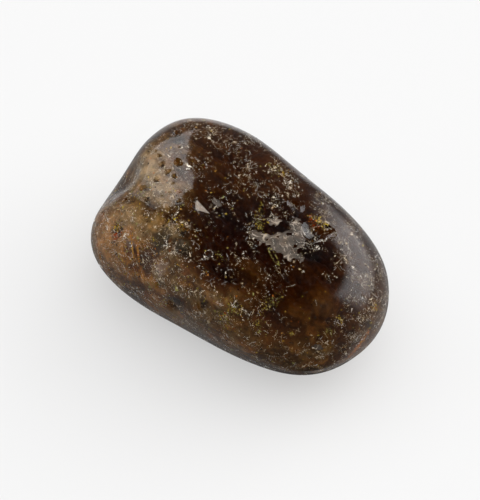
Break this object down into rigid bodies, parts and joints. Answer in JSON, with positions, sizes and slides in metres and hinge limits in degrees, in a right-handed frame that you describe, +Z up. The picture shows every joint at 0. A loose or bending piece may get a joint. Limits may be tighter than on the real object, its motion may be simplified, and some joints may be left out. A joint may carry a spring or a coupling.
{
  "type": "baltic amber pebble",
  "caption": "Tumbled pebble of dark Baltic amber: a rounded, see-through brown lump with soft flats, a notched end and small pits, resting on a small flat spot.",
  "frame": {"origin": "centre of the bounding box's base, on the surface that the pebble rests on", "axes": "+X along the pebble towards its round end, +Z up from the flat spot that it rests on"},
  "size_m": [0.0404, 0.0268, 0.0186],
  "materials": {
    "amber": "polished by tumbling, glossy, see-through dark brown with pale flecks"
  },
  "bodies": {
    "root": {"amber_pebble": "amber"}
  },
  "joints": []
}
